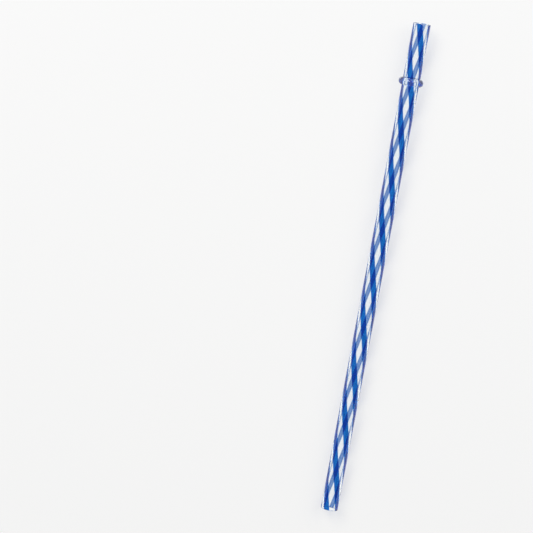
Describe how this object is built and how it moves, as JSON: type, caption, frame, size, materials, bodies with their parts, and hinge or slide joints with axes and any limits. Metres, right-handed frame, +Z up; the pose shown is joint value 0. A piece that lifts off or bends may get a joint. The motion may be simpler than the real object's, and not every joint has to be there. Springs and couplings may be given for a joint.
{
  "type": "drinking straw",
  "caption": "Reusable hard plastic drinking straw: a straight clear tube with blue stripes winding through its wall and a clear stop ring moulded round it below the mouth.",
  "frame": {"origin": "on the surface that the straw lies on, under the middle of its length", "axes": "+X along the straw towards its mouth, which the ring lifts by half a degree, and +Z up"},
  "size_m": [0.23, 0.0114, 0.0115],
  "materials": {
    "clear_plastic": "clear and glossy",
    "blue_plastic": "pigmented, under a clear glossy skin"
  },
  "bodies": {
    "root": {"tube": "clear_plastic", "stop_ring": "clear_plastic", "stripe_1": "blue_plastic", "stripe_2": "blue_plastic", "stripe_3": "blue_plastic", "stripe_4": "blue_plastic"}
  },
  "joints": []
}
